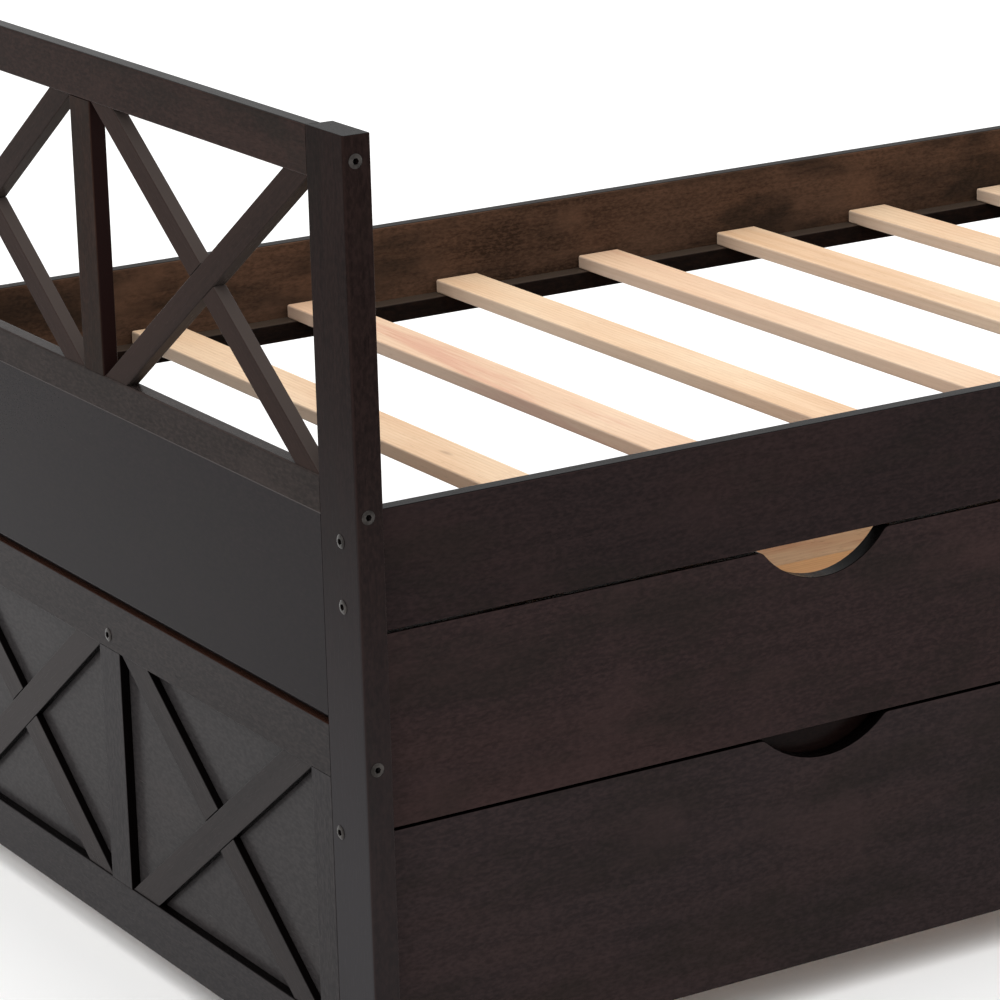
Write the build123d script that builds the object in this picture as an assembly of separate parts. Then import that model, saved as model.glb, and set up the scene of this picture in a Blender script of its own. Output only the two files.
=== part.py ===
from build123d import *
from math import asin, atan2, degrees, hypot
import os

# Trundle daybed: X-braced end panels, slatted bed, two drawers and a pull-out trundle on wheels.
#
# Millimetres. X runs along the bed, +Y to the wall side, +Z up. The origin is on the floor, under
# the middle of the bed. The drawers and the trundle come out towards -Y.

# ---- overall sizes ----
length = 2056.0
width = 1074.0
height = 970.0

# ---- posts and end panels ----
post_thickness = 29.0
post_depth = 69.0
post_edge = 3.0
post_inner_edge = 1.2
panel_thickness = 17.0
panel_bottom = 27.0
panel_edge = 2.0
rail_edge = 2.0
top_rail_height = 48.0
middle_rail_top = 640.5
middle_rail_height = 36.0
upper_stile_width = 46.0
upper_brace_width = 28.0
upper_brace_thickness = 14.0
upper_panel_bottom = 404.0
slot_height = 8.0
slot_depth = 10.0
lower_top_rail_height = 53.0
lower_bottom_rail_height = 56.0
lower_stile_width = 46.0
lower_end_stile_width = 38.0
lower_brace_width = 35.0
lower_brace_setback = 2.0
recess_depth = 10.5
brace_edge = 1.0
brace_joint_gap = 0.8

# ---- side rails, ledgers and bed slats ----
rail_setback = 22.5
rail_thickness = 18.0
side_rail_top = 611.5
side_rail_height = 118.5
ledger_depth = 25.0
ledger_height = 22.0
slat_top = 538.5
slat_thickness = 16.0
slat_width = 58.0
slat_count = 10
slat_edge = 2.5
slat_end_gap = 5.0
end_slat_offset = 110.0

# ---- stretchers and drawer runners ----
stretcher_thickness = 20.0
stretcher_gap = 2.5
front_stretcher_bottom = 255.0
front_stretcher_height = 60.0
front_bolt_drop = 22.5
centre_stretcher_bottom = 290.0
centre_stretcher_height = 110.0
runner_height = 20.0
runner_width = 30.0
runner_lip_width = 10.0
runner_lip_height = 25.0
runner_rise = 2.5

# ---- drawers ----
front_gap = 2.5
drawer_front_height = 193.5
drawer_wall = 12.0
drawer_inside_depth = 353.5
drawer_box_top = 465.0
drawer_bottom_thickness = 6.0
drawer_bottom_rise = 6.0
drawer_side_play = 1.0
drawer_runner_play = 0.5
cutout_width = 150.0
drawer_cutout_depth = 38.0
trundle_cutout_depth = 31.0
cutout_shift = 12.0
cutout_corner = 10.0
front_edge = 1.5

# ---- trundle ----
trundle_front_bottom = 43.5
trundle_board = 18.0
trundle_inside_depth = 989.5
trundle_end_play = 12.0
trundle_side_bottom = 62.0
trundle_side_height = 140.0
trundle_ledger = 20.0
trundle_ledger_bottom = 102.0
trundle_slat_thickness = 14.0
corner_block_width = 50.0
corner_block_depth = 62.0
corner_block_height = 40.0

# ---- wheels ----
wheel_radius = 25.0
wheel_width = 20.0
wheel_edge = 3.0
axle_radius = 4.0
axle_play = 0.05
bracket_plate = 2.0
bracket_gap = 1.0
bracket_length = 44.0
bracket_corner = 7.0
bracket_wing = 10.0
axle_head_radius = 6.0
axle_head = 1.5

# ---- bolts ----
bolt_radius = 3.0
bolt_hole_play = 0.3
bolt_head_radius = 7.0
bolt_head_height = 1.6
bolt_grip = 36.0
bolt_offset = 12.0
hex_size = 4.0
hex_depth = 3.0
nut_radius = 5.0
nut_length = 14.0
nut_inset = 30.0
nut_bore_play = 0.05
post_bolt_heights = (946.0, 614.0, 368.5)
side_rail_bolt_heights = (585.5, 522.0)
centre_bolt_height = 358.5

# ---- sizes worked out from the ones above ----
half_length = length / 2
half_width = width / 2
inside_half = half_length - post_thickness
rail_y = -half_width + rail_setback
rail_back_y = rail_y + rail_thickness
panel_half = half_width - post_depth
middle_rail_bottom = middle_rail_top - middle_rail_height
lower_top = upper_panel_bottom - slot_height
lower_opening_top = lower_top - lower_top_rail_height
lower_opening_bottom = panel_bottom + lower_bottom_rail_height
side_rail_bottom = side_rail_top - side_rail_height
slat_bottom = slat_top - slat_thickness
ledger_bottom = slat_bottom - ledger_height
slat_half = -(rail_back_y + slat_end_gap)
slat_pitch = (length - 2 * end_slat_offset) / (slat_count - 1)
slat_places = [-half_length + end_slat_offset + i * slat_pitch for i in range(slat_count)]
front_stretcher_top = front_stretcher_bottom + front_stretcher_height
stretcher_y = rail_back_y + stretcher_gap
stretcher_back_y = stretcher_y + stretcher_thickness
front_bolt_height = front_stretcher_top - front_bolt_drop
runner_top = front_stretcher_top + runner_rise
runner_back_y = -stretcher_thickness / 2
drawer_front_top = side_rail_bottom - front_gap
drawer_front_bottom = drawer_front_top - drawer_front_height
drawer_front_width = (2 * inside_half - 3 * front_gap) / 2
drawer_x = (front_gap + drawer_front_width) / 2
cutout_x = drawer_x - cutout_shift
drawer_box_bottom = runner_top + drawer_runner_play
drawer_back_y = rail_back_y + drawer_inside_depth
trundle_front_top = drawer_front_bottom - front_gap
trundle_front_half = inside_half - front_gap
trundle_back_y = rail_back_y + trundle_inside_depth
trundle_end_x = inside_half - trundle_end_play
trundle_slat_bottom = trundle_ledger_bottom + trundle_ledger
wheel_x = trundle_end_x - trundle_board - corner_block_width / 2
wheel_y_places = (rail_back_y + corner_block_depth / 2, trundle_back_y - corner_block_depth / 2)


# ---- helpers ----
def block(x0, x1, y0, y1, z0, z1):
    """Plain box between two corners."""
    return Pos((x0 + x1) / 2, (y0 + y1) / 2, (z0 + z1) / 2) * Box(x1 - x0, y1 - y0, z1 - z0)


def board(x0, x1, y0, y1, z0, z1, along, edge):
    """Box whose long edges, parallel to the axis along, are eased."""
    body = block(x0, x1, y0, y1, z0, z1)
    return fillet(body.edges().filter_by(along), edge)


def rod(start, direction, radius, reach):
    """Cylinder from a start point, along a direction."""
    return Plane(origin=start, z_dir=direction) * Cylinder(
        radius, reach, align=(Align.CENTER, Align.CENTER, Align.MIN))


def group(pieces):
    """Separate solids kept in one node."""
    solids = []
    for piece in pieces:
        solids += piece.solids()
    return Compound(children=solids)


def to_end(piece, side):
    """Turns a piece made for the left end to the end that side names."""
    if side < 0:
        return piece
    return mirror(piece, about=Plane.YZ)


def save(name, piece):
    """Writes one node."""
    piece.label = name
    export_step(piece, f"parts/{name}.step")


# ---- bolts ----
class BoltedJoint:
    """One connector bolt: its head's place on a face, the way in, and the barrel nut it meets.

    cover is the distance from the bolt's axis to the face that the nut goes in through, and
    nut_axis points from that face into the wood.
    """

    def __init__(self, place, direction, depth, nut_axis, cover):
        self.place = place
        self.direction = direction
        self.depth = depth
        self.nut_axis = nut_axis
        self.cover = cover

    def at(self, distance):
        """Point on the bolt's axis, at a distance in from its head."""
        return tuple(p + d * distance for p, d in zip(self.place, self.direction))

    def nut_start(self):
        """Where the nut's hole meets the face of the wood."""
        centre = self.at(self.depth + nut_inset)
        return tuple(c - a * self.cover for c, a in zip(centre, self.nut_axis))

    def bolt(self):
        """Bolt with a flat head that stands on the face, and a hexagon socket."""
        outward = tuple(-d for d in self.direction)
        shank = rod(self.place, self.direction, bolt_radius, self.depth + bolt_grip)
        head = rod(self.place, outward, bolt_head_radius, bolt_head_height)
        rim = head.edges().filter_by(GeomType.CIRCLE).sort_by(Axis(self.place, outward))[-1]
        head = fillet(rim, bolt_head_height / 2)
        socket_plane = Plane(origin=self.at(-bolt_head_height), z_dir=self.direction)
        socket = extrude(socket_plane * RegularPolygon(hex_size / 2, 6, major_radius=False), hex_depth)
        return shank + head - socket

    def nut(self):
        """Barrel nut that the bolt's tip goes through."""
        body = rod(self.nut_start(), self.nut_axis, nut_radius, nut_length)
        reach = self.depth + bolt_grip
        return body - rod(self.place, self.direction, bolt_radius + nut_bore_play, reach + nut_radius)

    def holes(self):
        """The two holes that a joint needs in the wood."""
        reach = self.depth + bolt_grip + bolt_hole_play
        shank = rod(self.place, self.direction, bolt_radius + bolt_hole_play, reach)
        depth = nut_length + bolt_hole_play
        return shank, rod(self.nut_start(), self.nut_axis, nut_radius + bolt_hole_play, depth)


def post_joints(end, edge):
    """Posts to end rails, along Y."""
    x = end * (half_length - bolt_offset)
    cover = panel_thickness - bolt_offset
    return [BoltedJoint((x, edge * half_width, z), (0, -edge, 0), post_depth, (end, 0, 0), cover)
            for z in post_bolt_heights]


def rail_joints(end, edge):
    """Posts to side rails, along X."""
    cover = rail_thickness / 2
    y = -edge * (rail_y + cover)
    return [BoltedJoint((end * half_length, y, z), (-end, 0, 0), post_thickness, (0, edge, 0), cover)
            for z in side_rail_bolt_heights]


def stretcher_joints(end):
    """Ends to the front and centre stretchers, along X."""
    into = (-end, 0, 0)
    cover = stretcher_thickness / 2
    front = (end * half_length, stretcher_y + cover, front_bolt_height)
    centre = (end * half_length, 0, centre_bolt_height)
    return [BoltedJoint(front, into, post_thickness, (0, -1, 0), cover),
            BoltedJoint(centre, into, panel_thickness, (0, -1, 0), cover)]


def all_joints():
    """Every bolted joint of the bed."""
    found = []
    for end in (-1, 1):
        for edge in (-1, 1):
            found += post_joints(end, edge) + rail_joints(end, edge)
        found += stretcher_joints(end)
    return found


bolted_joints = all_joints()


def meets(box, other):
    """Whether two bounding boxes overlap by more than a touch."""
    return all(
        low < high_other - 1e-3 and low_other < high - 1e-3
        for low, high, low_other, high_other in zip(box.min, box.max, other.min, other.max))


def drilled(piece):
    """A wooden piece with the holes of the joints that run through it."""
    box = piece.bounding_box()
    for joint in bolted_joints:
        for hole in joint.holes():
            if meets(box, hole.bounding_box()):
                piece = piece - hole
    return piece


# ---- end panels, made at the left end (outer face at -half_length) ----
def across_end(y0, y1, z0, z1, depth=panel_thickness, setback=0.0, along=Axis.Y, edge=rail_edge):
    """Eased board in the plane of the left end panel."""
    x = -half_length + setback
    return board(x, x + depth, y0, y1, z0, z1, along, edge)


def post(edge):
    """Corner post with eased edges; edge is -1 at the front and 1 at the wall."""
    y0, y1 = sorted((edge * half_width, edge * panel_half))
    body = block(-half_length, -inside_half, y0, y1, 0, height)
    upright = body.edges().filter_by(Axis.Z).sort_by(Axis.Y, reverse=edge > 0)
    body = fillet(upright[:2], post_edge)
    upright = body.edges().filter_by(Axis.Z).sort_by(Axis.Y, reverse=edge > 0)
    body = fillet(upright[-2:], post_inner_edge)
    return fillet(body.edges().group_by(Axis.Z)[-1], post_inner_edge)


def top_rail():
    return across_end(-panel_half, panel_half, height - top_rail_height, height)


def middle_rail():
    """Rail under the X frame; its lower edges stay sharp against the panel."""
    x = -half_length
    body = block(x, x + panel_thickness, -panel_half, panel_half, middle_rail_bottom, middle_rail_top)
    return fillet(body.edges().filter_by(Axis.Y).group_by(Axis.Z)[-1], rail_edge)


def upper_stile():
    half = upper_stile_width / 2
    return across_end(-half, half, middle_rail_top, height - top_rail_height, along=Axis.Z)


def upper_panel():
    """Solid panel whose thin tongue stands behind the shadow slot."""
    x = -half_length
    back = x + panel_thickness
    face = block(x, back, -panel_half, panel_half, upper_panel_bottom, middle_rail_bottom)
    face = fillet(face.edges().filter_by(Axis.Y).group_by(Axis.X)[0], panel_edge)
    tongue = block(x + slot_depth, back, -panel_half, panel_half, lower_top, upper_panel_bottom)
    return face + tongue


def lower_top_rail():
    return across_end(-panel_half, panel_half, lower_opening_top, lower_top, edge=brace_edge)


def lower_bottom_rail():
    return across_end(-panel_half, panel_half, panel_bottom, lower_opening_bottom)


def lower_stile():
    half = lower_stile_width / 2
    return across_end(
        -half, half, lower_opening_bottom, lower_opening_top, recess_depth,
        along=Axis.Z, edge=brace_edge)


def lower_end_stiles():
    inner = panel_half - lower_end_stile_width
    sizes = (lower_opening_bottom, lower_opening_top, recess_depth)
    return group([
        across_end(-panel_half, -inner, *sizes, along=Axis.Z, edge=brace_edge),
        across_end(inner, panel_half, *sizes, along=Axis.Z, edge=brace_edge)])


def recess_panel():
    """Thin panel behind the lower stiles and braces."""
    x = -half_length
    heights = (lower_opening_bottom, lower_opening_top)
    return block(x + recess_depth, x + panel_thickness, -panel_half, panel_half, *heights)


def brace(opening, thickness, setback, brace_width, lean):
    """Bar across an opening, two of its edges running through opposite corners.

    opening is (y0, y1, z0, z1); lean is 1 for a bar that rises towards +Y.
    """
    y0, y1, z0, z1 = opening
    across, up = y1 - y0, z1 - z0
    angle = atan2(up, across) + asin(brace_width / hypot(across, up))
    x = -half_length + setback
    bar = Box(thickness, 2 * hypot(across, up), brace_width)
    bar = fillet(bar.edges().filter_by(Axis.Y), brace_edge)
    bar = Pos(x + thickness / 2, (y0 + y1) / 2, (z0 + z1) / 2) * Rot(X=lean * degrees(angle)) * bar
    return bar & block(x - 1, x + thickness + 1, y0, y1, z0, z1)


def braces(openings, thickness, setback, brace_width):
    """The long braces of both bays, and the short halves that butt against them."""
    long_ones, short_ones = [], []
    for opening in openings:
        y0, y1, z0, z1 = opening
        long_one = brace(opening, thickness, setback, brace_width, -1)
        keep_out = Box(4 * thickness, 2 * length, brace_width + 2 * brace_joint_gap)
        angle = atan2(z1 - z0, y1 - y0) + asin(brace_width / hypot(y1 - y0, z1 - z0))
        keep_out = Pos(-half_length, (y0 + y1) / 2, (z0 + z1) / 2) * Rot(X=-degrees(angle)) * keep_out
        long_ones.append(long_one)
        short_ones.append(brace(opening, thickness, setback, brace_width, 1) - keep_out)
    return group(long_ones), group(short_ones)


def upper_braces():
    half = upper_stile_width / 2
    heights = (middle_rail_top, height - top_rail_height)
    openings = [(-panel_half, -half, *heights), (half, panel_half, *heights)]
    setback = (panel_thickness - upper_brace_thickness) / 2
    return braces(openings, upper_brace_thickness, setback, upper_brace_width)


def lower_braces():
    half = lower_stile_width / 2
    outer = panel_half - lower_end_stile_width
    heights = (lower_opening_bottom, lower_opening_top)
    openings = [(-outer, -half, *heights), (half, outer, *heights)]
    thickness = recess_depth - lower_brace_setback
    return braces(openings, thickness, lower_brace_setback, lower_brace_width)


def end_pieces():
    """Every piece of the left end panel by name."""
    upper_long, upper_short = upper_braces()
    lower_long, lower_short = lower_braces()
    return {
        "front_post": post(-1),
        "back_post": post(1),
        "top_rail": top_rail(),
        "middle_rail": middle_rail(),
        "upper_stile": upper_stile(),
        "upper_long_braces": upper_long,
        "upper_short_braces": upper_short,
        "upper_panel": upper_panel(),
        "lower_top_rail": lower_top_rail(),
        "lower_bottom_rail": lower_bottom_rail(),
        "lower_stile": lower_stile(),
        "lower_end_stiles": lower_end_stiles(),
        "lower_long_braces": lower_long,
        "lower_short_braces": lower_short,
        "recess_panel": recess_panel(),
    }


# ---- the bed between the ends ----
def side_rail(edge):
    """Rail between the posts; edge is -1 at the front and 1 at the wall."""
    y0, y1 = sorted((edge * -rail_y, edge * -rail_back_y))
    return board(-inside_half, inside_half, y0, y1, side_rail_bottom, side_rail_top, Axis.X, rail_edge)


def bed_ledgers():
    """Strips along the inner faces of the side rails that carry the slats."""
    front_y = rail_back_y + ledger_depth
    strips = []
    for y0, y1 in ((rail_back_y, front_y), (-front_y, -rail_back_y)):
        heights = (ledger_bottom, slat_bottom)
        strips.append(board(-inside_half, inside_half, y0, y1, *heights, Axis.X, front_edge))
    return group(strips)


def slats(y0, y1, z0, z1):
    """A row of cross slats with eased long edges."""
    half = slat_width / 2
    return group([board(x - half, x + half, y0, y1, z0, z1, Axis.Y, slat_edge) for x in slat_places])


def front_stretcher():
    return board(
        -inside_half, inside_half, stretcher_y, stretcher_back_y,
        front_stretcher_bottom, front_stretcher_top, Axis.X, rail_edge)


def centre_stretcher():
    end_x = half_length - panel_thickness
    half = stretcher_thickness / 2
    top = centre_stretcher_bottom + centre_stretcher_height
    return board(-end_x, end_x, -half, half, centre_stretcher_bottom, top, Axis.X, rail_edge)


def runner(x0, x1, lip_x0, lip_x1):
    """Wooden strip between the two stretchers, with a lip that guides the drawer beside it."""
    y0, y1 = stretcher_back_y, runner_back_y
    base = block(x0, x1, y0, y1, runner_top - runner_height, runner_top)
    return base + block(lip_x0, lip_x1, y0, y1, runner_top, runner_top + runner_lip_height)


def drawer_runners():
    outer = inside_half - runner_width
    lip = inside_half - runner_lip_width
    half_lip = runner_lip_width / 2
    return group([
        runner(-inside_half, -outer, -inside_half, -lip),
        runner(-runner_width, runner_width, -half_lip, half_lip),
        runner(outer, inside_half, lip, inside_half)])


# ---- drawers ----
def hand_cutouts(body, places, top, rise):
    """Shallow half-moon hand holds in the top edge of a front, their corners rounded."""
    radius = (cutout_width ** 2 / 4 + rise ** 2) / (2 * rise)
    for x in places:
        centre = (x, rail_y - 1, top - rise + radius)
        body = body - rod(centre, (0, 1, 0), radius, rail_thickness + 2)
        corners = [edge for edge in body.edges().filter_by(Axis.Y).group_by(Axis.Z)[-1]
                   if abs(abs(edge.center().X - x) - cutout_width / 2) < 1]
        body = fillet(corners, cutout_corner)
    return body


def front_board(x0, x1, z0, z1, places, rise):
    """Painted front with hand holds and eased edges."""
    body = hand_cutouts(block(x0, x1, rail_y, rail_y + rail_thickness, z0, z1), places, z1, rise)
    rim = body.faces().sort_by(Axis.Y)[0].edges()
    return fillet(rim, front_edge)


def drawer_limits(side):
    """Outer X limits of a drawer's box, lower one first."""
    inner = runner_lip_width / 2 + drawer_side_play
    outer = inside_half - runner_lip_width - drawer_side_play
    return sorted((side * inner, side * outer))


def drawer_front(side):
    half = drawer_front_width / 2
    x = side * drawer_x
    heights = (drawer_front_bottom, drawer_front_top)
    return front_board(x - half, x + half, *heights, [side * cutout_x], drawer_cutout_depth)


def drawer_sides(side):
    """Two sides, grooved for the bottom."""
    x0, x1 = drawer_limits(side)
    groove = drawer_groove(side)
    y1 = drawer_back_y + drawer_wall
    return group([
        board(a, b, rail_back_y, y1, drawer_box_bottom, drawer_box_top, Axis.Y, front_edge) - groove
        for a, b in ((x0, x0 + drawer_wall), (x1 - drawer_wall, x1))])


def drawer_groove(side):
    """Space that the drawer's bottom fills."""
    x0, x1 = drawer_limits(side)
    inset = drawer_wall / 2
    z0 = drawer_box_bottom + drawer_bottom_rise
    return block(
        x0 + inset, x1 - inset, rail_back_y, drawer_back_y + inset, z0, z0 + drawer_bottom_thickness)


def drawer_back(side):
    x0, x1 = drawer_limits(side)
    body = board(
        x0 + drawer_wall, x1 - drawer_wall, drawer_back_y, drawer_back_y + drawer_wall,
        drawer_box_bottom, drawer_box_top, Axis.X, front_edge)
    return body - drawer_groove(side)


def drawer_bottom(side):
    return drawer_groove(side)


# ---- trundle ----
def trundle_front():
    return front_board(
        -trundle_front_half, trundle_front_half, trundle_front_bottom, trundle_front_top,
        [-cutout_x, cutout_x], trundle_cutout_depth)


def trundle_back():
    top = trundle_side_bottom + trundle_side_height
    return board(
        -trundle_end_x, trundle_end_x, trundle_back_y, trundle_back_y + trundle_board,
        trundle_side_bottom, top, Axis.X, rail_edge)


def trundle_ends():
    inner = trundle_end_x - trundle_board
    top = trundle_side_bottom + trundle_side_height
    return group([
        board(x0, x1, rail_back_y, trundle_back_y, trundle_side_bottom, top, Axis.Y, rail_edge)
        for x0, x1 in ((-trundle_end_x, -inner), (inner, trundle_end_x))])


def trundle_ledgers():
    half = trundle_end_x - trundle_board
    top = trundle_ledger_bottom + trundle_ledger
    return group([
        board(-half, half, y, y + trundle_ledger, trundle_ledger_bottom, top, Axis.X, front_edge)
        for y in (rail_back_y, trundle_back_y - trundle_ledger)])


def corner_blocks():
    """Blocks inside the corners that the wheel brackets are screwed to."""
    half = corner_block_width / 2
    blocks = []
    for x in (-wheel_x, wheel_x):
        for y in wheel_y_places:
            blocks.append(block(
                x - half, x + half, y - corner_block_depth / 2, y + corner_block_depth / 2,
                trundle_side_bottom, trundle_side_bottom + corner_block_height))
    return group(blocks)


def wheel_places():
    """Wheel centres by name."""
    names = (("left", -wheel_x), ("right", wheel_x))
    rows = zip(("front", "back"), wheel_y_places)
    return {f"{row}_{name}": (x, y, wheel_radius) for row, y in rows for name, x in names}


def wheel_bracket(x, y, z):
    """Bent steel plate: a flat top and two cheeks that hold the axle."""
    half = wheel_width / 2 + bracket_gap
    top = trundle_side_bottom
    reach = bracket_length / 2
    outside = half + bracket_plate
    under = top - bracket_plate
    body = block(x - outside, x + outside, y - reach, y + reach, z - 2 * axle_radius, top)
    body = body - block(x - half, x + half, y - reach - 1, y + reach + 1, 0, under)
    wings = block(
        x - half - bracket_wing, x + half + bracket_wing, y - reach, y + reach, under, top)
    corners = body.edges().filter_by(Axis.X).group_by(Axis.Z)[0]
    body = fillet(corners, bracket_corner)
    hole = rod((x - wheel_width, y, z), (1, 0, 0), axle_radius, 2 * wheel_width)
    return body + wings - hole


def axle(x, y, z):
    """Riveted pin with a head outside each cheek."""
    half = wheel_width / 2 + bracket_gap + bracket_plate
    pin = rod((x - half, y, z), (1, 0, 0), axle_radius, 2 * half)
    for side in (-1, 1):
        pin += rod((x + side * half, y, z), (side, 0, 0), axle_head_radius, axle_head)
    return pin


def wheel(x, y, z):
    """Plain plastic wheel with eased rims, running on its axle."""
    body = rod((x - wheel_width / 2, y, z), (1, 0, 0), wheel_radius, wheel_width)
    body = fillet(body.edges().filter_by(GeomType.CIRCLE), wheel_edge)
    return body - rod((x - wheel_width, y, z), (1, 0, 0), axle_radius + axle_play, 2 * wheel_width)


# ---- every node ----
os.makedirs("parts", exist_ok=True)

for end_name, end_side in (("left", -1), ("right", 1)):
    for piece_name, piece in end_pieces().items():
        save(f"{end_name}_{piece_name}", drilled(to_end(piece, end_side)))

save("front_rail", drilled(side_rail(-1)))
save("back_rail", drilled(side_rail(1)))
save("bed_ledgers", bed_ledgers())
save("bed_slats", slats(-slat_half, slat_half, slat_bottom, slat_top))
save("front_stretcher", drilled(front_stretcher()))
save("centre_stretcher", drilled(centre_stretcher()))
save("drawer_runners", drawer_runners())
save("frame_bolts", group([joint.bolt() for joint in bolted_joints]))
save("barrel_nuts", group([joint.nut() for joint in bolted_joints]))

for drawer_name, drawer_side in (("left", -1), ("right", 1)):
    save(f"{drawer_name}_drawer_front", drawer_front(drawer_side))
    save(f"{drawer_name}_drawer_sides", drawer_sides(drawer_side))
    save(f"{drawer_name}_drawer_back", drawer_back(drawer_side))
    save(f"{drawer_name}_drawer_bottom", drawer_bottom(drawer_side))

save("trundle_front", trundle_front())
save("trundle_back", trundle_back())
save("trundle_ends", trundle_ends())
save("trundle_ledgers", trundle_ledgers())
save("trundle_slats", slats(
    rail_back_y + slat_end_gap, trundle_back_y - slat_end_gap,
    trundle_slat_bottom, trundle_slat_bottom + trundle_slat_thickness))
save("trundle_corner_blocks", corner_blocks())
save("wheel_brackets", group([wheel_bracket(*place) for place in wheel_places().values()]))
save("wheel_axles", group([axle(*place) for place in wheel_places().values()]))
for wheel_name, place in wheel_places().items():
    save(f"{wheel_name}_wheel", wheel(*place))
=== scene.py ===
from math import asin, atan2, cos, hypot, pi, radians, sin

import bmesh
import bpy
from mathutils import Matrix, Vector


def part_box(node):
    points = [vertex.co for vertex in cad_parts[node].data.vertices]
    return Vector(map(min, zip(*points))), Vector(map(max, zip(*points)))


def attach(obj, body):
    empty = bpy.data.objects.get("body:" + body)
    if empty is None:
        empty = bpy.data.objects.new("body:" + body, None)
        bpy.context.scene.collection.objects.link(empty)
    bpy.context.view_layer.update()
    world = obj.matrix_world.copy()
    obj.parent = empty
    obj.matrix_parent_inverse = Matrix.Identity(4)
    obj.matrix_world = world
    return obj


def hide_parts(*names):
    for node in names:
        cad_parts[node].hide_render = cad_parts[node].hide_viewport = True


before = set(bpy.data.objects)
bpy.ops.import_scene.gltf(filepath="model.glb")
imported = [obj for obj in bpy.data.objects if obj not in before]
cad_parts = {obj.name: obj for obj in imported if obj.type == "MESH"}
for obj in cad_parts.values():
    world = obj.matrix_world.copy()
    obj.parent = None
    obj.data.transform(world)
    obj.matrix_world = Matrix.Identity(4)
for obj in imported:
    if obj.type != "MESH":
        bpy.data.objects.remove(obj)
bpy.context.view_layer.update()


# ---------------------------------------------------------------------------------------------
# Corner posts. Four sawn and sanded hardwood posts, 29 x 69 mm with rounded corners, that stand
# on the floor and carry both ends of the bed. They are stained espresso and sprayed satin; the
# grain runs up the post.

def step(tree, kind, links=(), **settings):
    """One node, with its settings made and its sockets wired or filled."""
    made = tree.nodes.new(kind)
    for name, value in settings.items():
        setattr(made, name, value)
    for socket, value in dict(links).items():
        if isinstance(value, bpy.types.NodeSocket):
            tree.links.new(value, made.inputs[socket])
        else:
            made.inputs[socket].default_value = value
    return made


def sums(tree, operation, first, second=0.0, third=0.0, clamp=False):
    """The result of one sum on numbers."""
    return step(tree, "ShaderNodeMath", {0: first, 1: second, 2: third},
                operation=operation, use_clamp=clamp).outputs[0]


def eased(tree, value, low, high, to_low=0.0, to_high=1.0):
    """value carried smoothly from the range low-high to another one."""
    made = step(tree, "ShaderNodeMapRange", interpolation_type="SMOOTHSTEP")
    for socket, number in zip(("Value", "From Min", "From Max", "To Min", "To Max"),
                              (value, low, high, to_low, to_high)):
        if isinstance(number, bpy.types.NodeSocket):
            tree.links.new(number, made.inputs[socket])
        else:
            made.inputs[socket].default_value = number
    return made.outputs["Result"]


def blended(tree, share, first, second):
    """Two colours mixed; share is how much of the second."""
    made = step(tree, "ShaderNodeMix", data_type="RGBA", blend_type="MIX")
    for socket, value in ((0, share), (6, first), (7, second)):
        if isinstance(value, bpy.types.NodeSocket):
            tree.links.new(value, made.inputs[socket])
        elif socket == 0:
            made.inputs[socket].default_value = value
        else:
            made.inputs[socket].default_value = (*value, 1.0)
    return made.outputs[2]


def mottled(tree, where, stretch, detail=3.0, roughness=0.5, bend=0.0):
    """Cloudy pattern, drawn out by stretch along each axis of the board."""
    drawn = step(tree, "ShaderNodeVectorMath", {0: where, 1: stretch}, operation="MULTIPLY")
    links = {"Vector": drawn.outputs[0], "Scale": 1.0, "Detail": detail, "Roughness": roughness,
             "Distortion": bend}
    return step(tree, "ShaderNodeTexNoise", links).outputs["Fac"]


def new_finish(name):
    """Empty material with its shader wired up."""
    made = bpy.data.materials.new(name)
    made.use_nodes = True
    tree = made.node_tree
    tree.nodes.clear()
    shader = step(tree, "ShaderNodeBsdfPrincipled")
    out = step(tree, "ShaderNodeOutputMaterial")
    tree.links.new(shader.outputs["BSDF"], out.inputs["Surface"])
    return made, tree, shader


def along_board(tree, grain, start, plank=None):
    """Coordinates and normal turned so that X runs with the grain, and start moves the pattern."""
    turn = Vector((1, 0, 0)).rotation_difference(Vector(grain)).to_euler("XYZ")
    coordinates = step(tree, "ShaderNodeTexCoord")
    turned = []
    for output, place in (("Object", start), ("Normal", (0, 0, 0))):
        links = {"Vector": coordinates.outputs[output], "Location": place, "Rotation": turn}
        turned.append(step(tree, "ShaderNodeMapping", links, vector_type="TEXTURE").outputs[0])
    if plank:
        own = step(tree, "ShaderNodeAttribute", attribute_name=plank).outputs["Vector"]
        turned[0] = step(tree, "ShaderNodeVectorMath", {0: turned[0], 1: own}, operation="ADD").outputs[0]
    return turned


def rubbed_edges(tree, normal):
    """0 on flat faces and 1 on the rounded edges of a board."""
    parts = step(tree, "ShaderNodeSeparateXYZ", {0: normal}).outputs
    size = [sums(tree, "ABSOLUTE", part) for part in parts]
    most = sums(tree, "MAXIMUM", sums(tree, "MAXIMUM", size[0], size[1]), size[2])
    return eased(tree, most, 0.99, 0.84)


def year_rings(tree, where, gap, waver):
    """Lines of early and late wood round the heart of the tree, long and wavering along the grain."""
    drawn = step(tree, "ShaderNodeVectorMath", {0: where, 1: (0.05, 1.0, 1.0)}, operation="MULTIPLY")
    links = {"Vector": drawn.outputs[0], "Scale": 2 * pi / (20 * gap), "Distortion": waver,
             "Detail": 2.0, "Detail Scale": 0.12, "Detail Roughness": 0.5}
    return step(tree, "ShaderNodeTexWave", links, wave_type="RINGS", rings_direction="X",
                wave_profile="SIN").outputs["Fac"]


black_pore = (0.0012, 0.0010, 0.0010)
olive_cast = (0.0095, 0.0086, 0.0070)


def scaled(colour, factor):
    """A colour made lighter or darker."""
    return tuple(factor * part for part in colour)


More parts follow.
